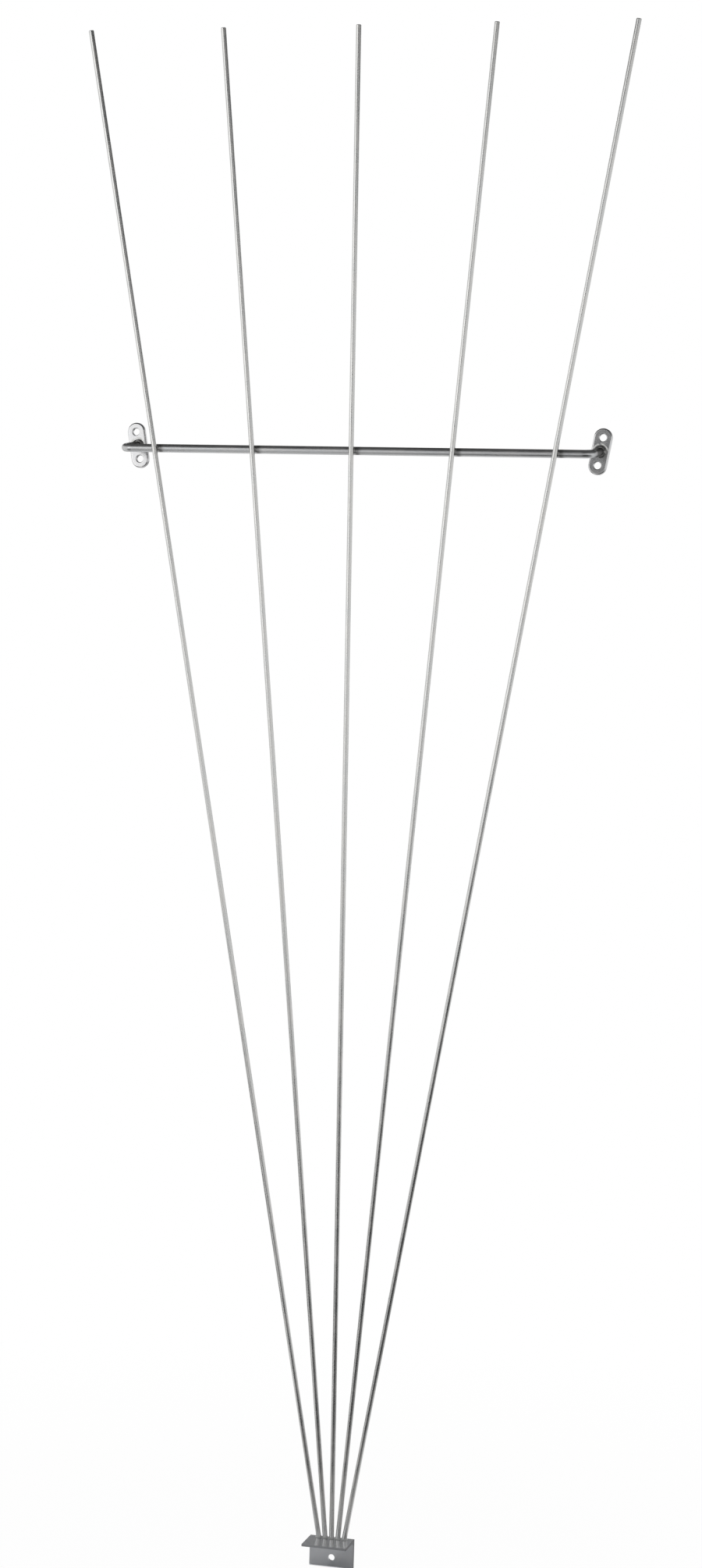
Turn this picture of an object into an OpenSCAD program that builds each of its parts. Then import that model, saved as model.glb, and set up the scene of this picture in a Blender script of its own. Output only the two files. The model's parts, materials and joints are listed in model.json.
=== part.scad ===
// Espalier fan for a wall: five straight steel rods spread from a short length of angle at the foot
// and cross a bent bar that holds them off the wall on two screw plates.
// X runs along the wall, Y points into the wall and Z points up. The wall is the plane Y = 0,
// and the origin is the centre of the foot's screw hole on that plane.

/* [Rods] */
// Diameter of each rod
rod_d = 5; // [4:0.5:8]
// Height of the rod tips above the ledge
fan_height = 1470; // [1200:1:2000]
// Spacing of the rod tips
tip_pitch = 134; // [60:1:200]
// Gap between neighbouring rods at the foot
foot_gap = 1.5; // [0.5:0.5:15]
// Gap between the wall and the backs of the rods at the foot
foot_wall_gap = 1.5; // [1:0.5:20]
// Chamfer round the cut end at each tip
tip_chamfer = 0.5; // [0.2:0.1:1.2]

/* [Crossbar] */
// Diameter of the bar
bar_d = 8; // [6:0.5:12]
// Height of the bar's axis above the ledge
bar_height = 1070; // [600:1:1150]
// Distance of the bar's axis from the wall
bar_standoff = 48; // [28:1:90]
// Distance of each leg past the outer rod
bar_overhang = 34; // [18:1:90]
// Bend radius at the bar's axis
bend_r = 9; // [8:0.5:14]
// Slope of the legs, which rise from the bar to the wall
leg_slope = 7; // [0:0.5:10]
// Depth to which each rod beds into the bar
bed_depth = 0.4; // [0.2:0.1:1]

/* [Wall plates] */
// Width of each plate, whose ends are full half rounds
plate_w = 18; // [14:1:30]
// Thickness of the plates
plate_t = 4; // [2.5:0.5:6]
// Distance between the two screw holes of a plate
plate_hole_pitch = 27; // [25:1:60]
// Diameter of the plates' screw holes
plate_hole_d = 7; // [4.5:0.5:9]
// Rounding of the plates' front edge
plate_edge_r = 1.5; // [0.5:0.1:2]

/* [Base angle] */
// Depth of the ledge from the wall
ledge_depth = 34; // [20:1:60]
// Height of the upright leg
upright_height = 30; // [26:1:60]
// Thickness of both legs
angle_t = 2.5; // [2:0.5:5]
// Length of ledge past the outer rods
end_margin = 7; // [4:0.5:40]
// Fillet in the inner corner
root_r = 3; // [1:0.5:5]
// Rounding of the inner edge at the end of each leg
toe_r = 1; // [0.3:0.1:1.5]
// Diameter of the screw hole
base_hole_d = 6.5; // [4:0.5:8]
// Drop of the screw hole below the ledge
base_hole_drop = 20; // [12:1:22]

/* [Welds] */
// Spread of the weld round each rod's foot
foot_weld_leg = 1.2; // [0.8:0.1:2.5]
// Height of the weld round each rod's foot
foot_weld_height = 1.4; // [0.8:0.1:3]
// Radius of the beads beside each crossing
crossing_bead_r = 1.5; // [1:0.1:2.5]
// Length of the beads beside each crossing
crossing_bead_length = 4; // [2:0.5:6]
// Leg length of the ring weld where the bar meets a plate
plate_weld_leg = 2.2; // [1:0.1:2.5]

/* [Hidden] */
rod_names = ["rod_far_left", "rod_left", "rod_centre", "rod_right", "rod_far_right"];
plate_names = ["left_wall_plate", "right_wall_plate"];
weld_names = ["foot_welds", "crossing_welds", "plate_welds"];
$fn = 64;

// How far a cutting shape runs past what it cuts
overrun = 1;
right = 1;
left = -1;
rod_count = len(rod_names);
rods = [0 : rod_count - 1];
outer_rod = rod_count - 1;
foot_pitch = rod_d + foot_gap;
row_length = outer_rod * foot_pitch + rod_d;
angle_length = row_length + 2 * end_margin;
ledge_z = base_hole_drop;
bar_z = ledge_z + bar_height;
foot_y = -(foot_wall_gap + rod_d / 2);
crossing_y = -(bar_standoff + (bar_d + rod_d) / 2 - bed_depth);
leg_x = crossing_x(outer_rod) + bar_overhang;
bend_x = leg_x - bend_r;
leg_length = bar_standoff - bend_r;
leg_reach = bar_standoff - plate_t;
plate_z = bar_z + leg_reach * tan(leg_slope);
plate_lean = atan((spread(outer_rod, tip_pitch) - spread(outer_rod, foot_pitch)) / fan_height);
zinc = "lightgray";
weld_metal = "darkgray";

// Distance of a rod from the middle of the fan where neighbours are one pitch apart
function spread(rod, pitch) = (rod - outer_rod / 2) * pitch;

// Where a rod crosses the bar, measured along the bar
function crossing_x(rod) =
    spread(rod, foot_pitch) + (spread(rod, tip_pitch) - spread(rod, foot_pitch)) * bar_height / fan_height;

function foot_point(rod) = [spread(rod, foot_pitch), foot_y, ledge_z];
function crossing_point(rod) = [crossing_x(rod), crossing_y, bar_z];
function rod_length(rod) = norm(crossing_point(rod) - foot_point(rod)) * fan_height / bar_height;

// Turns the Z axis to lie along a direction
module along(direction)
    rotate([-asin(direction.y / norm(direction)), atan2(direction.x, direction.z), 0])
        children();

// One leg of the angle in section, with its inner free edge rounded
module angle_leg(length) {
    square([length - toe_r, angle_t]);
    square([length, angle_t - toe_r]);
    translate([length - toe_r, angle_t - toe_r])
        circle(r = toe_r);
}

// Section of the angle: the first axis runs away from the wall and the second runs down
module angle_section() {
    angle_leg(ledge_depth);
    mirror([1, -1])
        angle_leg(upright_height);
    difference() {
        square(angle_t + root_r);
        translate([angle_t + root_r, angle_t + root_r])
            circle(r = root_r);
    }
}

module base_angle()
    color(zinc)
        difference() {
            translate([0, 0, ledge_z])
                rotate([-90, 0, -90])
                    linear_extrude(angle_length, center = true)
                        angle_section();
            translate([0, overrun, 0])
                rotate([90, 0, 0])
                    cylinder(d = base_hole_d, h = angle_t + 2 * overrun);
        }

// A rod before its foot is cut: it runs on below the ledge by its own diameter
module rod_wire(rod)
    translate(foot_point(rod))
        along(crossing_point(rod) - foot_point(rod))
            rotate_extrude()
                polygon([
                    [0, -rod_d],
                    [rod_d / 2, -rod_d],
                    [rod_d / 2, rod_length(rod) - tip_chamfer],
                    [rod_d / 2 - tip_chamfer, rod_length(rod)],
                    [0, rod_length(rod)]
                ]);

// A rod with its foot cut level, so that it stands flat on the ledge
module fan_rod(rod)
    color(zinc)
        difference() {
            rod_wire(rod);
            translate([-angle_length, -2 * ledge_depth, ledge_z - 2 * rod_d])
                cube([2 * angle_length, 3 * ledge_depth, 2 * rod_d]);
        }

// The right-hand half of the bar, laid flat with its axis on X: half the run, the bend and the leg
module bar_half() {
    rotate([-90, 0, -90])
        cylinder(d = bar_d, h = bend_x);
    translate([bend_x, bend_r, 0]) {
        rotate([0, 0, -90])
            rotate_extrude(angle = 90)
                translate([bend_r, 0])
                    circle(d = bar_d);
        translate([bend_r, leg_length, 0])
            rotate([90, 0, 0])
                cylinder(d = bar_d, h = leg_length);
    }
}

// The bent bar before its legs are cut to meet the plates
module bar_wire()
    translate([0, -bar_standoff, bar_z])
        rotate([leg_slope, 0, 0]) {
            bar_half();
            mirror([1, 0, 0])
                bar_half();
        }

// The bent bar with a saddle for each rod and its legs cut flat on the plates
module crossbar()
    color(zinc)
        difference() {
            bar_wire();
            for (rod = rods)
                rod_wire(rod);
            translate([-2 * leg_x, -plate_t, bar_z - bar_standoff])
                cube([4 * leg_x, bar_standoff, 2 * bar_standoff]);
        }

// Half section of a plate, from its centre line to its rounded front edge
module plate_half_section() {
    square([plate_w / 2 - plate_edge_r, plate_t]);
    square([plate_w / 2, plate_t - plate_edge_r]);
    translate([plate_w / 2 - plate_edge_r, plate_t - plate_edge_r])
        circle(r = plate_edge_r);
}

// A plate lying on its back: two half-round ends and a straight middle, all of one section
module plate_blank() {
    for (end = [right, left])
        translate([0, end * plate_hole_pitch / 2, 0])
            rotate([0, 0, 90 - end * 90])
                rotate_extrude(angle = 180)
                    plate_half_section();
    translate([0, plate_hole_pitch / 2, 0])
        rotate([90, 0, 0])
            linear_extrude(plate_hole_pitch) {
                plate_half_section();
                mirror([1, 0])
                    plate_half_section();
            }
}

// A drilled plate flat on the wall, leaning with the outer rod on its side
module wall_plate(side)
    color(zinc)
        translate([side * leg_x, 0, plate_z])
            rotate([0, side * plate_lean, 0])
                rotate([90, 0, 0])
                    difference() {
                        plate_blank();
                        for (end = [right, left])
                            translate([0, end * plate_hole_pitch / 2, -overrun])
                                cylinder(d = plate_hole_d, h = plate_t + 2 * overrun);
                    }

// A run of weld that joins the feet of the rods to the ledge and to each other
module foot_welds()
    color(weld_metal)
        difference() {
            for (rod = rods)
                translate(foot_point(rod))
                    cylinder(
                        d1 = rod_d + 2 * foot_weld_leg,
                        d2 = rod_d + foot_weld_leg,
                        h = foot_weld_height
                    );
            for (rod = rods)
                rod_wire(rod);
        }

// Two short beads that lie along each rod, in the valleys between it and the bar
module crossing_welds()
    color(weld_metal)
        difference() {
            for (rod = rods, side = [right, left])
                translate(crossing_point(rod))
                    along(crossing_point(rod) - foot_point(rod))
                        translate([side * rod_d / 2, rod_d / 2 - bed_depth, 0])
                            cylinder(r = crossing_bead_r, h = crossing_bead_length, center = true);
            bar_wire();
            for (rod = rods)
                rod_wire(rod);
        }

// A ring of weld round each leg on the front of its plate
module plate_welds()
    color(weld_metal)
        difference() {
            for (side = [right, left])
                translate([side * leg_x, -plate_t, plate_z])
                    rotate([90, 0, 0])
                        cylinder(
                            d1 = bar_d + 2 * plate_weld_leg,
                            d2 = bar_d + plate_weld_leg,
                            h = plate_weld_leg
                        );
            bar_wire();
        }

base_angle();
crossbar();
for (rod = rods)
    fan_rod(rod);
wall_plate(left);  // left_wall_plate
wall_plate(right);  // right_wall_plate
foot_welds();
crossing_welds();
plate_welds();
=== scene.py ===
"""Espalier fan for a wall, dressed for the camera.

Five straight zinc-plated rods stand on a short length of angle, spread upwards and cross a bent bar that
two screw plates hold off the wall. Everything is in metres: X runs along the wall, Y into it and Z up.
"""
import json
import math

import bmesh
import bpy
import numpy as np
from bpy.props import FloatProperty, FloatVectorProperty, PointerProperty
from mathutils import Matrix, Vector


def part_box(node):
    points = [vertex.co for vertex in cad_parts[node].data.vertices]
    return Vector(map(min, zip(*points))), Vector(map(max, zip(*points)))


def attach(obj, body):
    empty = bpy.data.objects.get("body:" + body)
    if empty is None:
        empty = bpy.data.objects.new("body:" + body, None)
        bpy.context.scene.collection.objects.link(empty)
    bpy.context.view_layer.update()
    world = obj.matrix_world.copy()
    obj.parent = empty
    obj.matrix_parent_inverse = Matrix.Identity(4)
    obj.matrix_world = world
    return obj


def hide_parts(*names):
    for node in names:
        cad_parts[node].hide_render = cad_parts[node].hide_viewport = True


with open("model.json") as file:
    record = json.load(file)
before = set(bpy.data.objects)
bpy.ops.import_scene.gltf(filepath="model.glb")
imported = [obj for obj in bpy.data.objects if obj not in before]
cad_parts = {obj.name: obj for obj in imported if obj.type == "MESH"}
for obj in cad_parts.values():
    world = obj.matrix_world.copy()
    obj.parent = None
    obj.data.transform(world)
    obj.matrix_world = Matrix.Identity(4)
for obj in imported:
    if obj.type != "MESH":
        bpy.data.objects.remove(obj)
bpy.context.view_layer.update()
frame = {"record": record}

bl_info = {
    "name": "Espalier frame",
    "version": (1, 0, 0),
    "blender": (4, 5, 0),
    "location": "View3D > Sidebar > Espalier",
    "description": "Rods, bent bar, screw plates, foot angle and welds of a wall espalier, in a studio",
    "category": "Add Mesh",
}

MM = 0.001
TINY = 1e-7
BODY = "root"
PHOTO_LONG_SIDE_PX = 2009
SENSOR_MM = 36.0

# Piece, CAD node and place in the fan of each rod, from the left
RODS = (
    ("far_left_rod", "rod_far_left", -2),
    ("left_rod", "rod_left", -1),
    ("centre_rod", "rod_centre", 0),
    ("right_rod", "rod_right", 1),
    ("far_right_rod", "rod_far_right", 2),
)
PLATES = (("left_plate", "left_wall_plate", "left"), ("right_plate", "right_wall_plate", "right"))

mounts = {mount["name"]: mount for mount in frame["record"]["mounts"]}
angle_low, angle_high = (np.array(corner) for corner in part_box("base_angle"))
plate_front = float(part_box("left_wall_plate")[0].y)
ledge_z = float(angle_high[2])


def hole_place(name):
    """Centre of a screw hole on the wall, from the frame's mounts."""
    return np.array(mounts[name]["pos_m"], float)


def hole_radius(name):
    """Radius of a screw hole, from the frame's mounts."""
    return mounts[name]["dims"]["r_mm"] * MM


def plate_middle(side):
    """Middle of a screw plate on the wall, halfway between its holes: a leg of the bar points at it."""
    return (hole_place(f"{side}_plate_upper_hole") + hole_place(f"{side}_plate_lower_hole")) / 2


def length(name, description, default):
    """A size in metres that a user can change."""
    return FloatProperty(
        name=name, description=description, default=default, min=0.0, unit="LENGTH", precision=5
    )


def share(name, description, default):
    """A number from nothing to all."""
    return FloatProperty(
        name=name, description=description, default=default, min=0.0, max=1.0, subtype="FACTOR"
    )


def colour(name, description, default):
    """A linear colour."""
    return FloatVectorProperty(
        name=name, description=description, default=default, min=0.0, max=1.0, subtype="COLOR"
    )


class EspalierRodSizes(bpy.types.PropertyGroup):
    """Sizes of the fan of rods"""
    diameter: length("Diameter", "Diameter of each rod", 5 * MM)
    foot_pitch: length("Foot spacing", "Spacing of the rods on the ledge", 6.5 * MM)
    tip_pitch: length("Tip spacing", "Spacing of the rod tips", 134 * MM)
    height: length("Height", "Height of the tips above the ledge", 1470 * MM)
    foot_depth: length("Foot depth", "Distance of the rods from the wall at the ledge", 4 * MM)
    chamfer: length("Tip chamfer", "Chamfer round the cut end of each tip", 0.5 * MM)


class EspalierBarSizes(bpy.types.PropertyGroup):
    """Sizes of the bent bar"""
    diameter: length("Diameter", "Diameter of the bar", 8 * MM)
    height: length("Height", "Height of the bar above the ledge", 1070 * MM)
    standoff: length("Standoff", "Distance of the bar from the wall", 48 * MM)
    bend: length("Bend radius", "Radius of the bends at the bar's axis", 9 * MM)
    bed: length("Bed depth", "Depth to which each rod beds into the bar", 0.4 * MM)
    slope: FloatProperty(
        name="Leg slope", description="Slope of the legs, which rise to the wall",
        default=math.radians(7), subtype="ANGLE",
    )


class EspalierSheetSizes(bpy.types.PropertyGroup):
    """Sizes of the screw plates and the foot angle"""
    plate_width: length("Plate width", "Width of the screw plates", 18 * MM)
    plate_edge: length("Plate edge", "Rounding of the plates' front edge", 1.5 * MM)
    hole_edge: length("Hole edge", "Rounding of the plates' holes at the front", 0.7 * MM)
    angle_thickness: length("Angle thickness", "Thickness of both legs of the angle", 2.5 * MM)
    angle_root: length("Angle root", "Fillet in the angle's inner corner", 3 * MM)
    angle_toe: length("Angle toe", "Rounding of the inner edge of each leg", 1 * MM)
    edge_break: length("Edge break", "Rounding left on sharp edges by the plating", 0.25 * MM)


class EspalierWeldSizes(bpy.types.PropertyGroup):
    """Sizes of the weld metal"""
    foot_leg: length("Foot weld leg", "Spread of the weld round each foot", 1.2 * MM)
    foot_height: length("Foot weld height", "Height of the weld round each foot", 1.4 * MM)
    bead_radius: length("Bead radius", "Radius of the beads beside each crossing", 1.0 * MM)
    bead_length: length("Bead length", "Length of the beads beside each crossing", 6 * MM)
    ring_leg: length("Ring leg", "Leg length of the ring weld on each plate", 2.2 * MM)
    ripple: length("Ripple", "Height of the ripples in the weld metal", 0.04 * MM)


class EspalierFinish(bpy.types.PropertyGroup):
    """Colours and roughness of the plating"""
    rod: colour("Rods", "Plating on the drawn rods", (0.62, 0.62, 0.61))
    bar: colour("Bar", "Plating on the bent bar", (0.55, 0.555, 0.56))
    plate: colour("Plates", "Plating on the stamped plates", (0.60, 0.60, 0.605))
    angle: colour("Angle", "Plating on the angle", (0.53, 0.54, 0.56))
    weld: colour("Welds", "Plated weld metal", (0.30, 0.30, 0.295))
    foot_weld: colour("Foot weld", "Bright weld metal round the feet", (0.50, 0.51, 0.51))
    cut_steel: colour("Cut ends", "Bare cut steel under thin plating", (0.20, 0.20, 0.195))
    rod_roughness: share("Rod roughness", "Roughness of the drawn rods", 0.23)
    bar_roughness: share("Bar roughness", "Roughness of the bent bar", 0.30)
    plate_roughness: share("Plate roughness", "Roughness of the plates", 0.24)
    angle_roughness: share("Angle roughness", "Roughness of the angle", 0.19)


class EspalierStudio(bpy.types.PropertyGroup):
    """Floor and light"""
    floor: colour("Floor", "Colour of the pale floor", (0.90, 0.90, 0.90))
    ambient: FloatProperty(
        name="Ambient", description="Strength of the light from all round", default=0.6, min=0.0
    )
    softbox: FloatProperty(
        name="Softbox", description="Power of the softbox", default=9.0, min=0.0, unit="POWER"
    )


class EspalierSettings(bpy.types.PropertyGroup):
    """All that a user can change"""
    rods: PointerProperty(type=EspalierRodSizes)
    bar: PointerProperty(type=EspalierBarSizes)
    sheet: PointerProperty(type=EspalierSheetSizes)
    welds: PointerProperty(type=EspalierWeldSizes)
    finish: PointerProperty(type=EspalierFinish)
    studio: PointerProperty(type=EspalierStudio)


# Shader expressions

# Places of the two colours among a Mix node's inputs, and of the mixed colour among its outputs
MIX_FIRST, MIX_SECOND, MIX_RESULT = 6, 7, 2


class Wire:
    """A node tree, and a socket in it that takes part in Python expressions."""

    def __init__(self, tree, socket=None):
        self.tree = tree
        self.socket = socket

    def node(self, kind, settings=None, inputs=None, output=0):
        """Add a node: its settings first, then its sockets' values or links; gives one of its outputs."""
        made = self.tree.nodes.new(kind)
        for name, value in (settings or {}).items():
            setattr(made, name, value)
        for key, value in (inputs or {}).items():
            if isinstance(value, Wire):
                self.tree.links.new(value.socket, made.inputs[key])
            else:
                made.inputs[key].default_value = value
        return Wire(self.tree, made.outputs[output]) if made.outputs else None

    def math(self, operation, *values):
        """A function of one or two numbers."""
        return self.node("ShaderNodeMath", {"operation": operation}, dict(enumerate(values)))

    def __add__(self, other):
        return self.math("ADD", self, other)

    def __radd__(self, other):
        return self.math("ADD", other, self)

    def __sub__(self, other):
        return self.math("SUBTRACT", self, other)

    def __rsub__(self, other):
        return self.math("SUBTRACT", other, self)

    def __mul__(self, other):
        return self.math("MULTIPLY", self, other)

    def __rmul__(self, other):
        return self.math("MULTIPLY", other, self)

    def between(self, low, high):
        """How far the value is from low to high, from 0 to 1."""
        return self.node(
            "ShaderNodeMapRange", {"clamp": True}, {"Value": self, "From Min": low, "From Max": high}
        )

    def axis(self, name):
        """One coordinate of a vector."""
        return self.node("ShaderNodeSeparateXYZ", {}, {0: self}, name)

    def stretched(self, scale):
        """A vector multiplied by one number per axis."""
        return self.node("ShaderNodeVectorMath", {"operation": "MULTIPLY"}, {0: self, 1: scale})

    def noise(self, scale, detail=2.0, roughness=0.5):
        """Noise at this many features to the metre."""
        sockets = {"Vector": self, "Scale": scale, "Detail": detail, "Roughness": roughness}
        return self.node("ShaderNodeTexNoise", {"noise_dimensions": "3D"}, sockets)

    def mixed(self, first, second):
        """First colour where the value is 0, second where it is 1."""
        sockets = {0: self, MIX_FIRST: first, MIX_SECOND: second}
        return self.node("ShaderNodeMix", {"data_type": "RGBA"}, sockets, MIX_RESULT)


# Plating

# Noise in the plating: features to the metre, detail and roughness
DRAWING_LINES = (2600.0, 3.0, 0.6)
ROUND_CLOUDS = (160.0, 4.0, 0.55)
ROUND_GRAIN = (3800.0, 2.0)
ROLLING_LINES = (2400.0, 3.0, 0.6)
FLAT_CLOUDS = (170.0, 4.0, 0.6)
FLAT_GRAIN = (4200.0, 2.0)
SCRATCHES = (700.0, 1.0)
# Breaks in the painted highlight, a pale ring round each leg
HIGHLIGHT_PATCHES = (420.0, 2.0)
WELD_PATCHES = (620.0, 3.0, 0.6)
WELD_SPECKS = (2900.0, 2.0)

# How much a noise is squeezed along each axis
LINES_ALONG = (1.0, 1.0, 0.02)
CLOUDS_ALONG = (1.0, 1.0, 0.35)
SCRATCHES_ALONG = (0.9, 1.0, 0.12)
PLATE_ROLLING = (1.0, 1.0, 0.05)
ANGLE_ROLLING = (0.03, 1.0, 1.0)

# Depth of the fine relief in the plating
ROUND_RELIEF = 0.005 * MM
FLAT_RELIEF = 0.003 * MM
WELD_RELIEF = 0.02 * MM

# How much the dark metal of the heat tint and the painted shade reflects at a grazing view
BURNT_AND_SHADED_EDGE = (0.5, 0.5, 0.5, 1.0)

# How far from a cut face, and from the front edge with its painted shade, the darker tone starts and is
# full
CUT_START, CUT_FULL = 0.2 * MM, 0.1 * MM

# Painted highlight on the plates, a pale ring round each leg's weld on its upper side: the radii where its
# ring starts and ends, its rise above the leg and its colour
HIGHLIGHT_START = (6.2 * MM, 6.7 * MM)
HIGHLIGHT_END = (8.1 * MM, 7.5 * MM)
HIGHLIGHT_RISE = (0.0, 1.5 * MM)
PAINTED_HIGHLIGHT = (0.95, 0.95, 0.93, 1.0)

# Share of metal in the weld round the feet, which is more matt than the other welds
FOOT_WELD_METAL = 0.2


def tinted(base, factor, warmth=0.0):
    """A colour as four numbers, darker or lighter by a factor and a little warmer or cooler."""
    red, green, blue = (channel * factor for channel in base)
    return (min(red * (1 + warmth), 1.0), min(green, 1.0), min(blue * (1 - warmth), 1.0), 1.0)


def new_material(name):
    """A fresh material, the wire that adds its nodes, and its shader node."""
    material = bpy.data.materials.new(name)
    material.use_nodes = True
    tree = material.node_tree
    shader = tree.nodes["Principled BSDF"]
    return material, Wire(tree), shader


def plug(wire, shader, colour_wire, roughness_wire, height_wire, relief):
    """Link what varies over the surface to a metal shader, with its relief as a bump."""
    shader.inputs["Metallic"].default_value = 1.0
    bump = wire.node("ShaderNodeBump", {}, {"Strength": 1.0, "Distance": relief, "Height": height_wire})
    for name, source in (("Base Color", colour_wire), ("Roughness", roughness_wire), ("Normal", bump)):
        wire.tree.links.new(source.socket, shader.inputs[name])


def drawn_zinc(name, base, cut_steel, roughness):
    """Zinc on drawn round stock: drawing lines along it, cloudy plating and bare cut ends. Where the scorch
    mark is set, a dark metal takes over that reflects little at a grazing view. The mark is weld heat tint
    at the rods' feet, and painted shade on the bar beside each crossing and on its legs and bends."""
    material, wire, shader = new_material(name)
    along = wire.node("ShaderNodeAttribute", {"attribute_name": "straight"}, output="Vector")
    scorch_and_shade = wire.node("ShaderNodeAttribute", {"attribute_name": "scorch_and_shade"}, output="Fac")
    cut = wire.node("ShaderNodeAttribute", {"attribute_name": "cut"}, output="Fac")
    lines = along.stretched(LINES_ALONG).noise(*DRAWING_LINES)
    clouds = along.stretched(CLOUDS_ALONG).noise(*ROUND_CLOUDS)
    grain = along.noise(*ROUND_GRAIN)
    tone = clouds.between(0.32, 0.70).mixed(tinted(base, 0.90, -0.012), tinted(base, 1.06, 0.012))
    tone = (lines.between(0.40, 0.75) * 0.35).mixed(tone, tinted(base, 0.80))
    tone = cut.mixed(tone, tinted(cut_steel, 1.0))
    rough = roughness + clouds.between(0.3, 0.7) * 0.10 + (grain - 0.5) * 0.03 + cut * 0.15
    plug(wire, shader, tone, rough, lines * 0.8 + grain * 0.2, ROUND_RELIEF)
    # Colour of the dark metal: heat scale at the rods' feet, and painted shade on the bar
    scale = clouds.between(0.3, 0.7).mixed(tinted(base, 0.20, 0.03), tinted(base, 0.32, 0.02))
    sockets = {"Base Color": scale, "Roughness": rough, "Metallic": 1.0, "Specular Tint": BURNT_AND_SHADED_EDGE}
    burnt_and_shaded = wire.node("ShaderNodeBsdfPrincipled", {}, sockets)
    plated = Wire(wire.tree, shader.outputs[0])
    mix = wire.node("ShaderNodeMixShader", {}, {0: scorch_and_shade, 1: plated, 2: burnt_and_shaded})
    wire.tree.links.new(mix.socket, wire.tree.nodes["Material Output"].inputs["Surface"])
    return material


def painted_weld_highlight(wire, place, leg):
    """How much painted highlight lies at a place: a broken pale ring on the plate round a leg, on its upper
    side. The leg is given by its distance from the middle and its height, so that both plates have a ring."""
    leg_x, leg_z = leg
    across = wire.math("ABSOLUTE", place.axis("X")) - leg_x
    above = place.axis("Z") - leg_z
    reach = wire.math("SQRT", across * across + above * above)
    ring = reach.between(*HIGHLIGHT_START) * reach.between(*HIGHLIGHT_END)
    return ring * above.between(*HIGHLIGHT_RISE) * place.noise(*HIGHLIGHT_PATCHES).between(0.36, 0.5)


def satin_zinc(name, base, roughness, rolling, sawn=None, painted_shade_front=None, leg=None):
    """Zinc on flat stock: faint rolling lines along one axis, cloudy plating and a few fine scratches. Ends
    that were sawn off at a distance from the middle are darker and rougher. The front edge at a place in
    front is darker and rougher as painted shade. A painted highlight, a pale broken ring, lies round a leg."""
    material, wire, shader = new_material(name)
    place = wire.node("ShaderNodeTexCoord", output="Object")
    lines = place.stretched(rolling).noise(*ROLLING_LINES)
    clouds = place.noise(*FLAT_CLOUDS)
    grain = place.noise(*FLAT_GRAIN)
    scratch = place.stretched(SCRATCHES_ALONG).noise(*SCRATCHES)
    tone = clouds.between(0.25, 0.75).mixed(tinted(base, 0.96, -0.012), tinted(base, 1.03, 0.01))
    tone = (lines.between(0.42, 0.78) * 0.18).mixed(tone, tinted(base, 0.82))
    tone = (scratch.between(0.70, 0.76) * 0.3).mixed(tone, tinted(base, 1.2))
    rough = roughness + clouds.between(0.2, 0.8) * 0.06
    if sawn:
        cut = wire.math("ABSOLUTE", place.axis("X")).between(sawn - CUT_START, sawn - CUT_FULL)
        # Painted shade on the front edge, which stands for the dark floor it reflects
        edge = place.axis("Y").between(painted_shade_front + CUT_START, painted_shade_front + CUT_FULL)
        tone = edge.mixed(tone, tinted(base, 0.6))
        tone = cut.mixed(tone, tinted(base, 0.12))
        rough = rough + cut * 0.2 + edge * 0.1
    if leg:
        # Painted highlight: a pale ring that is no metal, round the leg
        highlight = painted_weld_highlight(wire, place, leg)
        tone = highlight.mixed(tone, PAINTED_HIGHLIGHT)
        wire.tree.links.new((1 - highlight).socket, shader.inputs["Metallic"])
    plug(wire, shader, tone, rough, lines * 0.6 + grain * 0.4, FLAT_RELIEF)
    return material


def weld_zinc(name, base, metal):
    """Zinc over weld metal: speckled and darker in patches. The less metal, the more matt it is."""
    material, wire, shader = new_material(name)
    place = wire.node("ShaderNodeTexCoord", output="Object")
    patches = place.noise(*WELD_PATCHES)
    specks = place.noise(*WELD_SPECKS)
    tone = patches.between(0.34, 0.66).mixed(tinted(base, 0.72, 0.02), tinted(base, 1.12))
    tone = (specks.between(0.62, 0.72) * 0.4).mixed(tone, tinted(base, 0.6, 0.03))
    rough = 0.26 + patches * 0.16
    plug(wire, shader, tone, rough, patches * 0.6 + specks * 0.4, WELD_RELIEF)
    shader.inputs["Metallic"].default_value = metal
    return material


# Surfaces

SHARP_ANGLE = math.radians(35)
BEVEL_ANGLE = math.radians(50)
BEVEL_SEGMENTS = 3


def unit(vectors):
    """Vectors of length one."""
    return vectors / np.linalg.norm(vectors, axis=-1, keepdims=True)


def grid_faces(rows, columns, wrap_rows=False):
    """Quads between neighbours of a grid that is closed round its columns, and along its rows if asked."""
    row = np.arange(rows if wrap_rows else rows - 1)[:, None]
    column = np.arange(columns)[None, :]
    after_row = (row + 1) % rows
    after_column = (column + 1) % columns
    corners = (row * columns + column, row * columns + after_column,
               after_row * columns + after_column, after_row * columns + column)
    return np.stack(np.broadcast_arrays(*corners), axis=-1).reshape(-1, 4)


def tube_faces(rows, columns):
    """Faces of a tube closed at both ends."""
    first = list(range(columns))
    last = [(rows - 1) * columns + column for column in first]
    return grid_faces(rows, columns).tolist() + [first, last]


def joined(surfaces):
    """Several (points, faces) surfaces as one."""
    points, faces, count = [], [], 0
    for part_points, part_faces in surfaces:
        points.append(part_points.reshape(-1, 3))
        faces += [[index + count for index in face] for face in part_faces]
        count += len(points[-1])
    return np.concatenate(points), faces


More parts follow.
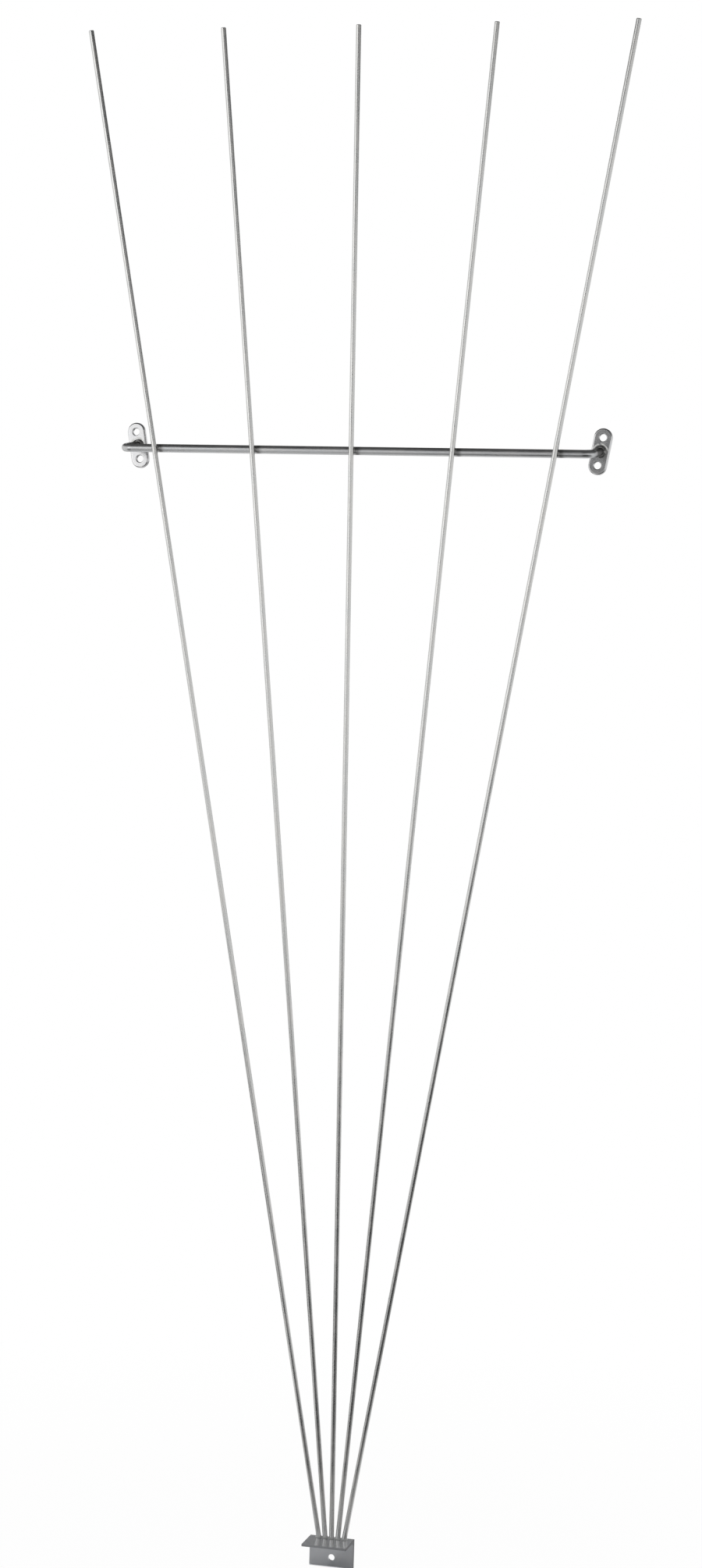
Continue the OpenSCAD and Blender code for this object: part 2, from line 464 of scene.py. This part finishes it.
def make_piece(name, surface, material, nodes, marks=None, edge_break=0.0):
    """Put a surface into a mesh object that stands for the CAD nodes and rides on the frame."""
    points, faces = surface
    mesh = bpy.data.meshes.new(name)
    mesh.from_pydata(points.reshape(-1, 3).tolist(), [], [list(face) for face in faces])
    for mark, values in (marks or {}).items():
        kind, field = ("FLOAT_VECTOR", "vector") if values.shape[-1] == 3 else ("FLOAT", "value")
        attribute = mesh.attributes.new(mark, kind, "POINT")
        attribute.data.foreach_set(field, values.astype(np.float32).ravel())
    shell = bmesh.new()
    shell.from_mesh(mesh)
    bmesh.ops.remove_doubles(shell, verts=shell.verts, dist=TINY)
    bmesh.ops.recalc_face_normals(shell, faces=shell.faces)
    shell.to_mesh(mesh)
    shell.free()
    mesh.polygons.foreach_set("use_smooth", np.ones(len(mesh.polygons), bool))
    mesh.set_sharp_from_angle(angle=SHARP_ANGLE)
    mesh.materials.append(material)
    piece = bpy.data.objects.new(name, mesh)
    bpy.context.scene.collection.objects.link(piece)
    if edge_break:
        bevel = piece.modifiers.new("edge_break", "BEVEL")
        bevel.width = edge_break
        bevel.segments = BEVEL_SEGMENTS
        bevel.limit_method = "ANGLE"
        bevel.angle_limit = BEVEL_ANGLE
        bevel.harden_normals = True
    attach(piece, BODY)
    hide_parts(*nodes)
    return piece


# The rods

ROD_SIDES = 48
ROD_ROWS = 120

# Scorching by the foot weld: how strong it is at the foot, and how far up it reaches
FOOT_HEAT = 0.16
FOOT_HEAT_REACH = 9 * MM


def rod_ends(settings, place):
    """Foot and tip of a rod's axis: a straight line through the ledge and the front of the bar."""
    rods, bar = settings.rods, settings.bar
    crossing_y = -(bar.standoff + (bar.diameter + rods.diameter) / 2 - bar.bed)
    tip_y = -rods.foot_depth + (crossing_y + rods.foot_depth) * rods.height / bar.height
    foot = np.array([place * rods.foot_pitch, -rods.foot_depth, ledge_z])
    tip = np.array([place * rods.tip_pitch, tip_y, ledge_z + rods.height])
    return foot, tip


def rod_axes(settings, place):
    """Foot of a rod, its direction, and the two directions square to it: along the wall and into it."""
    foot, tip = rod_ends(settings, place)
    direction = unit(tip - foot)
    across = unit(np.cross((0.0, 1.0, 0.0), direction))
    return foot, direction, across, np.cross(direction, across)


def rod_crossing(settings, place):
    """Where a rod's axis crosses in front of the bar."""
    foot, tip = rod_ends(settings, place)
    return foot + (tip - foot) * settings.bar.height / settings.rods.height


def rod_surface(settings, place):
    """A circle carried along the rod's axis from the level of the ledge to the tip, where it narrows by a
    chamfer. The marks are the rod laid straight, the heat of the foot weld and the bare cut end."""
    rods = settings.rods
    radius = rods.diameter / 2
    foot, direction, across, inwards = rod_axes(settings, place)
    tip_length = np.linalg.norm(np.subtract(*rod_ends(settings, place)))
    turn = np.linspace(0, 2 * np.pi, ROD_SIDES, endpoint=False)
    spokes = np.cos(turn)[:, None] * across + np.sin(turn)[:, None] * inwards
    start = -radius * spokes[:, 2] / direction[2]
    shares = np.linspace(0, 1, ROD_ROWS)[:, None]
    along = start + shares * (tip_length - rods.chamfer - start)
    along = np.concatenate([along, np.full((1, ROD_SIDES), tip_length)])
    reach = np.full(len(along), radius)
    reach[-1] = radius - rods.chamfer
    points = foot + reach[:, None, None] * spokes + along[..., None] * direction
    straight = np.stack([reach[:, None] * np.cos(turn), reach[:, None] * np.sin(turn), along], axis=-1)
    scorch_and_shade = FOOT_HEAT * np.exp(-(along / FOOT_HEAT_REACH) ** 2)
    cut = np.zeros(along.shape)
    cut[-1] = 1.0
    marks = {"straight": straight, "scorch_and_shade": scorch_and_shade[..., None], "cut": cut[..., None]}
    return (points, tube_faces(len(along), ROD_SIDES)), marks


class ESPALIER_OT_rods(bpy.types.Operator):
    """Add the five rods of the fan"""
    bl_idname = "espalier.rods"
    bl_label = "Rods"

    def execute(self, context):
        settings = context.scene.espalier
        finish = settings.finish
        material = drawn_zinc("drawn_zinc_rod", finish.rod, finish.cut_steel, finish.rod_roughness)
        for name, node, place in RODS:
            surface, marks = rod_surface(settings, place)
            make_piece(name, surface, material, [node], marks)
        return {"FINISHED"}


# The bent bar

BAR_SIDES = 56
RUN_ROWS = 400
BEND_ROWS = 28
LEG_ROWS = 12

# Painted shade beside each crossing: a dark spot on the bar right of the rod that stands for the rod's
# reflection and contact shadow, with a little weld heat tint. How strong it is, how far right of the rod it
# lies and how far it reaches
CROSSING_SHADE_AND_HEAT = 0.8
CROSSING_SPOT = 5.2 * MM
CROSSING_REACH = 2.6 * MM

# Painted shade on the legs and bends of the bar, which stands for the dark they reflect: how far from the
# plates it is full, and where it has gone
LEG_PAINTED_SHADE = (32 * MM, 41 * MM)


def leg_reach():
    """How far the legs stand from the middle of the fan: as far as the plates that carry them."""
    return float(plate_middle("right")[0])


def bar_path(settings, travel):
    """Points of the bar's axis and the outward direction there, at distances from its middle: a straight
    run, a quarter circle at each end and a leg back to the wall, all turned by the slope of the legs."""
    bar = settings.bar
    run = leg_reach() - bar.bend
    far = np.abs(travel)
    turn = np.clip(far - run, 0, bar.bend * np.pi / 2) / bar.bend
    leg = np.clip(far - run - bar.bend * np.pi / 2, 0, None)
    side = np.sign(travel)
    flat_x = side * (np.minimum(far, run) + bar.bend * np.sin(turn))
    flat_y = bar.bend * (1 - np.cos(turn)) + leg
    rise, level = np.sin(bar.slope), np.cos(bar.slope)
    middle = np.array([0.0, -bar.standoff, ledge_z + bar.height])
    axis = middle + np.stack([flat_x, flat_y * level, flat_y * rise], axis=-1)
    outward = np.stack([side * np.sin(turn), -np.cos(turn) * level, -np.cos(turn) * rise], axis=-1)
    return axis, outward


def bedded(points, settings):
    """Points of the bar, of which those inside a rod are pushed out to its surface: the rod's saddle."""
    radius = settings.rods.diameter / 2
    for _, _, place in RODS:
        foot, direction, _, _ = rod_axes(settings, place)
        off = points - foot
        off = off - (off @ direction)[..., None] * direction
        far = np.linalg.norm(off, axis=-1, keepdims=True)
        points = points + np.where(far < radius, off / far * (radius - far), 0.0)
    return points


def bar_surface(settings):
    """A circle carried along the bent axis, cut flat where the legs meet the plates."""
    bar = settings.bar
    radius = bar.diameter / 2
    run = leg_reach() - bar.bend
    quarter = bar.bend * np.pi / 2
    leg = (bar.standoff + plate_front - bar.bend) / np.cos(bar.slope)
    half = np.concatenate([
        np.linspace(0, run, RUN_ROWS // 2, endpoint=False),
        run + np.linspace(0, quarter, BEND_ROWS, endpoint=False),
        run + quarter + np.linspace(0, leg, LEG_ROWS),
    ])
    travel = np.concatenate([-half[:0:-1], half])
    axis, outward = bar_path(settings, travel)
    upward = np.array([0.0, -np.sin(bar.slope), np.cos(bar.slope)])
    turn = np.linspace(0, 2 * np.pi, BAR_SIDES, endpoint=False)[:, None]
    points = axis[:, None] + radius * (np.cos(turn) * outward[:, None] + np.sin(turn) * upward)
    for end in (0, -1):
        slide = (plate_front - points[end, :, 1]) / np.cos(bar.slope)
        points[end] += slide[:, None] * np.array([0.0, np.cos(bar.slope), np.sin(bar.slope)])
    points = bedded(points, settings)
    ring = np.broadcast_to(turn[:, 0], points.shape[:2])
    along = np.broadcast_to(travel[:, None], ring.shape)
    straight = np.stack([radius * np.cos(ring), radius * np.sin(ring), along], axis=-1)
    # Painted shade beside each crossing: a dark spot right of the rod for its reflection and contact
    # shadow, with a little weld heat
    crossings = np.array([rod_crossing(settings, place)[0] for _, _, place in RODS])
    near = np.abs(travel[:, None] - crossings - CROSSING_SPOT).min(axis=1)
    scorch_and_shade = CROSSING_SHADE_AND_HEAT * np.exp(-(near / CROSSING_REACH) ** 2)
    # Painted shade on the legs and bends, for the dark they reflect
    scorch_and_shade = np.maximum(scorch_and_shade, np.interp(half[-1] - np.abs(travel), LEG_PAINTED_SHADE, (1.0, 0.0)))
    scorch_and_shade = np.broadcast_to(scorch_and_shade[:, None], ring.shape)
    marks = {"straight": straight, "scorch_and_shade": scorch_and_shade[..., None], "cut": np.zeros(ring.shape + (1,))}
    return (points, tube_faces(len(travel), BAR_SIDES)), marks


class ESPALIER_OT_crossbar(bpy.types.Operator):
    """Add the bar that is bent back to the wall at both ends"""
    bl_idname = "espalier.crossbar"
    bl_label = "Bent bar"

    def execute(self, context):
        settings = context.scene.espalier
        finish = settings.finish
        surface, marks = bar_surface(settings)
        material = drawn_zinc("drawn_zinc_bar", finish.bar, finish.cut_steel, finish.bar_roughness)
        make_piece("bent_bar", surface, material, ["crossbar"], marks)
        return {"FINISHED"}


# Flat stock with screw holes

# Where the points of a pierced sheet lie between its hole and its outline: close together at both
FACE_SHARES = (1 - np.cos(np.linspace(0, np.pi, 28))) / 2

# Points on the stretches of a plate's outline
PLATE_END_STEPS = 40
PLATE_SIDE_STEPS = 10
PLATE_MIDDLE_STEPS = 48

# Points on the length of the angle, on the height of its upright leg and on its rounded corners
ANGLE_STEPS = 36
UPRIGHT_STEPS = 16
ARC_STEPS = 10


def rounded_edge(depth, radius, thickness):
    """Height of a sheet's front face this far in from an edge that is rounded over by a quarter circle."""
    inside = np.clip(radius - depth, 0, radius)
    return thickness - radius + np.sqrt(radius ** 2 - inside ** 2)


def pierced_sheet(outline, hole, radius, height):
    """A sheet round one hole, as a ring: each column runs from the hole to a point of the outline, over the
    front face and back under the sheet. The height of the front face is a function of the place on it."""
    rim = hole + radius * unit(outline - hole)
    plan = rim + FACE_SHARES[:, None, None] * (outline - rim)
    front = np.concatenate([plan, height(plan)[..., None]], axis=-1)
    back = np.concatenate([plan[::-1], np.zeros(plan.shape[:2] + (1,))], axis=-1)
    rows = np.concatenate([front, back])
    return rows, grid_faces(*rows.shape[:2], wrap_rows=True)


def without_wall(points, faces, axis, value):
    """Faces other than those that lie wholly in the plane where the sheet goes on."""
    inside = np.abs(points.reshape(-1, 3)[:, axis] - value) < TINY
    return faces[~inside[faces].all(axis=1)]


def path(*corners, steps):
    """Evenly spaced points along straight lines between corners, without the last corner."""
    shares = np.linspace(0, 1, steps, endpoint=False)[:, None]
    return np.concatenate([a + shares * (np.subtract(b, a)) for a, b in zip(corners, corners[1:])])


def plate_surface(settings, side):
    """An oblong plate with half-round ends and two holes: one pierced half, and its mirror image."""
    sheet = settings.sheet
    upper, lower = (hole_place(f"{side}_plate_{end}_hole") for end in ("upper", "lower"))
    half_pitch = np.linalg.norm(upper - lower) / 2
    radius = sheet.plate_width / 2
    drill = hole_radius(f"{side}_plate_upper_hole")
    turn = np.linspace(0, np.pi, PLATE_END_STEPS, endpoint=False)[:, None]
    hole = np.array([0.0, half_pitch])
    end = hole + radius * np.concatenate([np.cos(turn), np.sin(turn)], axis=1)
    sides = path((-radius, half_pitch), (-radius, 0.0), steps=PLATE_SIDE_STEPS)
    across = -radius * np.cos(np.linspace(0, np.pi, PLATE_MIDDLE_STEPS, endpoint=False))
    middle = np.stack([across, np.zeros(len(across))], axis=-1)
    far_side = path((radius, 0.0), (radius, half_pitch), steps=PLATE_SIDE_STEPS)

    def height(plan):
        past = np.clip(np.abs(plan[..., 1]) - half_pitch, 0, None)
        outer = rounded_edge(radius - np.hypot(plan[..., 0], past), sheet.plate_edge, -plate_front)
        inner = rounded_edge(np.linalg.norm(plan - hole, axis=-1) - drill, sheet.hole_edge, -plate_front)
        return np.minimum(outer, inner)

    outline = np.concatenate([end, sides, middle, far_side])
    half, faces = pierced_sheet(outline, hole, drill, height)
    faces = without_wall(half, faces, 1, 0.0).tolist()
    flat, faces = joined([(half, faces), (half * (1, -1, 1), faces)])
    along = unit(upper - lower)
    out = np.array([0.0, -1.0, 0.0])
    points = plate_middle(side) + flat @ np.stack([np.cross(along, out), along, out])
    return points, faces


class ESPALIER_OT_plates(bpy.types.Operator):
    """Add the two screw plates"""
    bl_idname = "espalier.plates"
    bl_label = "Screw plates"

    def execute(self, context):
        settings = context.scene.espalier
        finish = settings.finish
        # Place of the leg round which the painted highlight lies on each plate
        leg = (leg_reach(), float(plate_middle("right")[2]))
        material = satin_zinc(
            "satin_zinc_plate", finish.plate, finish.plate_roughness, PLATE_ROLLING, leg=leg
        )
        for name, node, side in PLATES:
            surface = plate_surface(settings, side)
            make_piece(
                name, surface, material, [node], edge_break=settings.sheet.edge_break
            )
        return {"FINISHED"}


def arc(centre, radius, start, stop):
    """Points of an arc between two angles in degrees."""
    turn = np.radians(np.linspace(start, stop, ARC_STEPS))
    return np.stack([centre[0] + radius * np.cos(turn), centre[1] + radius * np.sin(turn)], axis=-1)


def angle_surface(settings):
    """A length of angle: the ledge and the root are an open section carried along the wall, and the upright
    leg is a sheet pierced by the screw hole. They share the points of the line where they meet."""
    sheet = settings.sheet
    thick, root, toe = sheet.angle_thickness, sheet.angle_root, sheet.angle_toe
    left, right = angle_low[0], angle_high[0]
    front, bottom, top = angle_low[1], angle_low[2], angle_high[2]
    join = top - thick - root
    meeting = path((right, join), (left, join), steps=ANGLE_STEPS)
    outline = np.concatenate([
        path((left, join), (left, bottom), steps=UPRIGHT_STEPS),
        path((left, bottom), (right, bottom), steps=ANGLE_STEPS),
        path((right, bottom), (right, join), steps=UPRIGHT_STEPS),
        meeting,
    ])

    def height(plan):
        return rounded_edge(plan[..., 1] - bottom, toe, thick)

    upright, upright_faces = pierced_sheet(outline, np.zeros(2), hole_radius("base_screw_hole"), height)
    upright_faces = without_wall(upright, upright_faces, 1, join).tolist()
    upright = np.stack([upright[..., 0], -upright[..., 2], upright[..., 1]], axis=-1)
    section = np.concatenate([
        arc((-thick - root, join), root, 0, 90),
        arc((front + toe, top - thick + toe), toe, 270, 180),
        [(front, top), (front / 2, top), (0.0, top), (0.0, join)],
    ])
    stations = np.append(meeting[:, 0], left)
    ledge = np.stack([
        np.broadcast_to(stations[:, None], (len(stations), len(section))),
        np.broadcast_to(section[:, 0], (len(stations), len(section))),
        np.broadcast_to(section[:, 1], (len(stations), len(section))),
    ], axis=-1)
    *sides, first_end, last_end = tube_faces(*ledge.shape[:2])
    ledge_faces = without_wall(ledge, np.array(sides), 2, join).tolist() + [first_end, last_end]
    return joined([(upright, upright_faces), (ledge, ledge_faces)])


class ESPALIER_OT_angle(bpy.types.Operator):
    """Add the length of angle that the rods stand on"""
    bl_idname = "espalier.angle"
    bl_label = "Foot angle"

    def execute(self, context):
        settings = context.scene.espalier
        finish = settings.finish
        # Sawn ends, and the front edge that has painted shade
        sawn, painted_shade_front = float(angle_high[0]), float(angle_low[1])
        material = satin_zinc(
            "satin_zinc_angle", finish.angle, finish.angle_roughness, ANGLE_ROLLING, sawn, painted_shade_front
        )
        surface = angle_surface(settings)
        make_piece(
            "foot_angle", surface, material, ["base_angle"],
            edge_break=settings.sheet.edge_break,
        )
        return {"FINISHED"}


# Weld metal

SUNK = 0.05 * MM

# Points along and across the weld at the feet
FOOT_COLUMNS = 260
FOOT_ROWS = 41

# Distance over which the fillets of two neighbouring feet run into each other
FOOT_SOFTNESS = 0.25 * MM

# Ripples round each foot, how far apart the lumps lie along and across, and how sharply the edge falls
FOOT_RIPPLES = 11
LUMP_PITCH = (0.9 * MM, 0.7 * MM)
EDGE_POWER = 8

# Points along and round a bead, and round and across a ring
BEAD_ROWS, BEAD_SIDES = 34, 28
RING_COLUMNS, RING_ROWS = 120, 14


def foot_weld_surface(settings):
    """A blanket of weld over the row of feet. Its half width follows a circle round each foot, and its
    height falls from each rod to the ledge with the smoothed distance to the nearest rod, with ripples."""
    rods, welds = settings.rods, settings.welds
    radius = rods.diameter / 2
    feet = np.array([rod_ends(settings, place)[0] for _, _, place in RODS])
    reach = radius + welds.foot_leg
    x = np.linspace(feet[0, 0] - reach, feet[-1, 0] + reach, FOOT_COLUMNS)[1:-1]
    circles = np.sqrt(np.clip(reach ** 2 - (x[:, None] - feet[:, 0]) ** 2, 0, None))
    half_width = (circles ** 6).sum(axis=1) ** (1 / 6)
    lateral = np.linspace(-1, 1, FOOT_ROWS)
    y = feet[0, 1] + half_width[:, None] * lateral
    off_x = x[:, None, None] - feet[:, 0]
    off_y = y[..., None] - feet[:, 1]
    gaps = np.hypot(off_x, off_y) - radius
    near = np.exp(-gaps / FOOT_SOFTNESS)
    gap = -FOOT_SOFTNESS * np.log(near.sum(axis=-1))
    near = near / near.sum(axis=-1, keepdims=True)
    turn = FOOT_RIPPLES * np.arctan2(off_y, off_x) + 2.0 * np.arange(len(feet))
    swirl = (near * np.sin(turn)).sum(axis=-1)
    lump = 0.5 * np.sin(x[:, None] / LUMP_PITCH[0]) * np.sin(y / LUMP_PITCH[1] + 1.3)
    fall = np.clip(1 - gap / welds.foot_leg, 0, 1.15)
    edge = lateral ** EDGE_POWER
    ripples = welds.ripple * (swirl + lump) * np.minimum(fall * 4, 1) * (1 - edge)
    z = welds.foot_height * fall ** 1.4 + ripples
    top = np.stack([np.broadcast_to(x[:, None], y.shape), y, ledge_z + z - SUNK * edge], axis=-1)
    under = top[:, -2:0:-1] * (1, 1, 0) + (0, 0, ledge_z - 2 * SUNK)
    points = np.concatenate([top, under], axis=1)
    return points, tube_faces(*points.shape[:2])


def bead_surface(settings, place, side):
    """A bead in the valley between a rod and the bar: a circle carried along the rod, whose radius follows
    a half ellipse with ripples across it."""
    welds = settings.welds
    _, direction, across, inwards = rod_axes(settings, place)
    radius = settings.rods.diameter / 2
    valley = side * radius * across + (radius - settings.bar.bed) * inwards
    centre = rod_crossing(settings, place) + valley
    step = np.linspace(-1, 1, BEAD_ROWS)[1:-1, None]
    turn = np.linspace(0, 2 * np.pi, BEAD_SIDES, endpoint=False)
    phase = 1.7 * place + 0.8 * side
    ripples = 1 + 0.03 * np.sin(7 * step + phase) + 0.04 * np.sin(3 * turn + phase)
    swell = np.sqrt(1 - step ** 2) * ripples
    spokes = np.cos(turn)[:, None] * across + np.sin(turn)[:, None] * inwards
    along = (step * welds.bead_length / 2)[..., None] * direction
    points = centre + along + welds.bead_radius * swell[..., None] * spokes
    return points, tube_faces(*points.shape[:2])


def ring_surface(settings, side):
    """A ring of weld round a leg on its plate: a bulging fillet carried round the leg, with ripples."""
    welds = settings.welds
    radius = settings.bar.diameter / 2
    centre = plate_middle(side) + (0.0, plate_front, 0.0)
    turn = np.linspace(0, 2 * np.pi, RING_COLUMNS, endpoint=False)[:, None]
    step = np.linspace(0, 1, RING_ROWS)
    ripple = 1 + 0.10 * np.sin(2 * turn + 0.7) + 0.05 * np.sin(5 * turn + 2.1)
    fine = 0.4 * welds.ripple / welds.ring_leg
    ripple = ripple + fine * np.sin(19 * turn + 1.5 * np.sin(3 * turn) + 2 * step)
    bulge = 0.22 * np.sin(np.pi * step)
    spread = radius + welds.ring_leg * ripple * (step + bulge)
    lift = welds.ring_leg * ripple * (1 - step + bulge) - SUNK
    inner = np.full((len(turn), 1), radius - 4 * SUNK)
    spread = np.concatenate([inner, spread, inner], axis=1)
    lift = np.concatenate([lift[:, :1], lift, np.full((len(turn), 1), -SUNK)], axis=1)
    points = centre + np.stack([spread * np.cos(turn), -lift, spread * np.sin(turn)], axis=-1)
    return points, grid_faces(*points.shape[:2], wrap_rows=True)


class ESPALIER_OT_welds(bpy.types.Operator):
    """Add the weld beads at the feet, the crossings and the plates"""
    bl_idname = "espalier.welds"
    bl_label = "Welds"

    def execute(self, context):
        settings = context.scene.espalier
        material = weld_zinc("plated_weld_metal", settings.finish.weld, 1.0)
        bright = weld_zinc("bright_foot_weld", settings.finish.foot_weld, FOOT_WELD_METAL)
        beads = joined([bead_surface(settings, place, side) for _, _, place in RODS for side in (-1, 1)])
        rings = joined([ring_surface(settings, side) for _, _, side in PLATES])
        make_piece("foot_weld_run", foot_weld_surface(settings), bright, ["foot_welds"])
        make_piece("crossing_beads", beads, material, ["crossing_welds"])
        make_piece("plate_ring_welds", rings, material, ["plate_welds"])
        return {"FINISHED"}


# The studio

CAMERA_PLACE = (0.7566, -2.8925, 0.9109)
CAMERA_HEADING = 14.74
CAMERA_TILT = -2.741
CAMERA_ROLL = 1.729
FOCAL_PX = 3913.1
FLOOR_DROP = 0.5 * MM

FLOOR_SIDE = 40.0
SOFTBOX_PLACE = (-1.7, -2.3, 1.5)
SOFTBOX_SIZE = (1.2, 2.0)
SOFTBOX_HEADING = -36.0

# Part of the floor's look that is plain white: near the foot, how much more far off, and between where
WHITE_NEAR, WHITE_MORE = 0.97, 0.03
WHITE_REACH = (0.25, 1.0)

# Cards that only reflections see: name, centre, size, heading and tilt in degrees, and shade
CARDS = (
    ("floor_card", (1.05, -1.45, -0.0095), (2.6, 2.5), 0.0, 0.0, 0.05),
    ("far_floor_card", (0.95, -3.15, -0.0095), (1.7, 0.9), 0.0, 0.0, 0.05),
    ("left_floor_card", (-0.95, -0.35, -0.0095), (0.7, 0.66), 0.0, 0.0, 0.05),
    ("left_front_floor_card", (-1.4, -1.44, -0.0095), (1.0, 1.52), 0.0, 0.0, 0.05),
    ("right_floor_card", (0.95, 0.15, -0.0095), (1.2, 0.7), 0.0, 0.0, 0.7),
    ("near_left_card", (-0.1775, -0.102, -0.0098), (0.345, 0.196), 0.0, 0.0, 0.9),
    ("near_right_card", (0.2725, -0.102, -0.0098), (0.555, 0.196), 0.0, 0.0, 0.70),
    ("front_card", (-0.2, -2.9, 1.25), (0.8, 1.0), 0.0, 90.0, 0.05),
    ("upper_front_card", (0.9, -2.9, 2.0), (1.8, 1.0), 0.0, 90.0, 0.18),
    ("right_card", (1.6, -0.2, 1.97), (2.0, 0.96), 90.0, 90.0, 0.2),
    ("top_card", (0.0, -0.3, 2.5), (7.0, 7.0), 0.0, 0.0, 0.16),
    ("back_card", (-0.4, 1.5, 0.55), (2.6, 0.6), 0.0, 90.0, 0.43),
)


def seen_background(wire):
    """1 for a ray that should see the plain background: from the camera, a reflection or a clear body."""
    kinds = ("Camera", "Glossy", "Transmission")
    camera, glossy, clear = (wire.node("ShaderNodeLightPath", output=f"Is {kind} Ray") for kind in kinds)
    return wire.math("MAXIMUM", camera, wire.math("MAXIMUM", glossy, clear))


def floor_material(studio):
    """Pale floor that the camera sees as nearly white, with part of the object's shadow."""
    material = bpy.data.materials.new("pale_floor")
    material.use_nodes = True
    tree = material.node_tree
    tree.nodes.remove(tree.nodes["Principled BSDF"])
    wire = Wire(tree)
    plain = wire.node("ShaderNodeBsdfDiffuse", {}, {"Color": tinted(studio.floor, 1.0)})
    glow = wire.node("ShaderNodeEmission", {}, {"Color": (1.0, 1.0, 1.0, 1.0), "Strength": 1.0})
    place = wire.node("ShaderNodeTexCoord", output="Object")
    far = wire.node("ShaderNodeVectorMath", {"operation": "LENGTH"}, {0: place}, "Value")
    white = WHITE_NEAR + WHITE_MORE * far.between(*WHITE_REACH)
    mix = wire.node("ShaderNodeMixShader", {}, {0: seen_background(wire) * white, 1: plain, 2: glow})
    tree.links.new(mix.socket, tree.nodes["Material Output"].inputs["Surface"])
    return material


def card_material(name, shade):
    """Matt grey card."""
    material, _, shader = new_material(name)
    shader.inputs["Base Color"].default_value = (shade, shade, shade, 1.0)
    shader.inputs["Roughness"].default_value = 0.9
    return material


def flat_sheet(name, size, material):
    """A rectangle in the X and Y plane that belongs to the studio."""
    half_x, half_y = size[0] / 2, size[1] / 2
    mesh = bpy.data.meshes.new(name)
    corners = ((-half_x, -half_y), (half_x, -half_y), (half_x, half_y), (-half_x, half_y))
    mesh.from_pydata([(x, y, 0.0) for x, y in corners], [], [(0, 1, 2, 3)])
    mesh.materials.append(material)
    sheet = bpy.data.objects.new(name, mesh)
    bpy.context.scene.collection.objects.link(sheet)
    return sheet


def turned(heading, tilt, roll=0.0):
    """A turn made of a heading about Z, a tilt up from it, and a roll, in degrees."""
    turns = ((heading, "Z"), (tilt, "X"), (roll, "Z"))
    matrix = Matrix.Identity(4)
    for degrees, axis in turns:
        matrix = matrix @ Matrix.Rotation(math.radians(degrees), 4, axis)
    return matrix


def add_camera(scene):
    """Camera at the photograph's place, with its heading, tilt and small roll."""
    camera = bpy.data.cameras.new("camera")
    camera.sensor_width = SENSOR_MM
    camera.lens = FOCAL_PX * SENSOR_MM / PHOTO_LONG_SIDE_PX
    eye = bpy.data.objects.new("camera", camera)
    view = turned(CAMERA_HEADING, 90 + CAMERA_TILT, CAMERA_ROLL)
    eye.matrix_world = Matrix.Translation(CAMERA_PLACE) @ view
    scene.collection.objects.link(eye)
    scene.camera = eye


def add_softbox(scene, power):
    """A rectangular upright lamp on the left that reflections show and the camera doesn't."""
    lamp = bpy.data.lights.new("left_softbox", "AREA")
    lamp.shape = "RECTANGLE"
    lamp.size, lamp.size_y = SOFTBOX_SIZE
    lamp.energy = power
    box = bpy.data.objects.new("left_softbox", lamp)
    box.matrix_world = Matrix.Translation(SOFTBOX_PLACE) @ turned(SOFTBOX_HEADING, 90.0)
    box.visible_camera = False
    scene.collection.objects.link(box)


def set_world(scene, ambient):
    """White all round for the camera and for reflections, and a softer level for the light it gives."""
    world = bpy.data.worlds.new("white_studio")
    world.use_nodes = True
    wire = Wire(world.node_tree)
    seen = seen_background(wire)
    background = world.node_tree.nodes["Background"]
    background.inputs["Color"].default_value = (1.0, 1.0, 1.0, 1.0)
    strength = seen * (1 - ambient) + ambient
    world.node_tree.links.new(strength.socket, background.inputs["Strength"])
    scene.world = world


class ESPALIER_OT_studio(bpy.types.Operator):
    """Add the floor, the cards, the lamp and the camera"""
    bl_idname = "espalier.studio"
    bl_label = "Studio"

    def execute(self, context):
        scene = context.scene
        studio = scene.espalier.studio
        floor = flat_sheet("floor", (FLOOR_SIDE, FLOOR_SIDE), floor_material(studio))
        floor.location.z = float(angle_low[2]) - FLOOR_DROP
        for name, place, size, heading, tilt, shade in CARDS:
            card = flat_sheet(name, size, card_material(name, shade))
            card.matrix_world = Matrix.Translation(place) @ turned(heading, tilt)
            card.visible_camera = False
            card.visible_shadow = False
            card.visible_diffuse = False
        add_softbox(scene, studio.softbox)
        set_world(scene, studio.ambient)
        add_camera(scene)
        scene.view_settings.view_transform = "Standard"
        return {"FINISHED"}


class ESPALIER_PT_sidebar(bpy.types.Panel):
    """Sizes, finishes and build buttons of the espalier"""
    bl_idname = "ESPALIER_PT_sidebar"
    bl_label = "Espalier frame"
    bl_space_type = "VIEW_3D"
    bl_region_type = "UI"
    bl_category = "Espalier"

    def draw(self, context):
        settings = context.scene.espalier
        for operator in OPERATORS:
            self.layout.operator(operator.bl_idname)
        for group in ("rods", "bar", "sheet", "welds", "finish", "studio"):
            values = getattr(settings, group)
            box = self.layout.box()
            box.label(text=group.capitalize())
            for name in values.__annotations__:
                box.prop(values, name)


OPERATORS = (
    ESPALIER_OT_rods,
    ESPALIER_OT_crossbar,
    ESPALIER_OT_plates,
    ESPALIER_OT_angle,
    ESPALIER_OT_welds,
    ESPALIER_OT_studio,
)
CLASSES = (
    EspalierRodSizes,
    EspalierBarSizes,
    EspalierSheetSizes,
    EspalierWeldSizes,
    EspalierFinish,
    EspalierStudio,
    EspalierSettings,
    *OPERATORS,
    ESPALIER_PT_sidebar,
)


def register():
    for cls in CLASSES:
        bpy.utils.register_class(cls)
    bpy.types.Scene.espalier = PointerProperty(type=EspalierSettings)


def unregister():
    del bpy.types.Scene.espalier
    for cls in reversed(CLASSES):
        bpy.utils.unregister_class(cls)


def main():
    register()
    bpy.ops.espalier.rods()
    bpy.ops.espalier.crossbar()
    bpy.ops.espalier.plates()
    bpy.ops.espalier.angle()
    bpy.ops.espalier.welds()
    bpy.ops.espalier.studio()


if __name__ == "__main__":
    main()
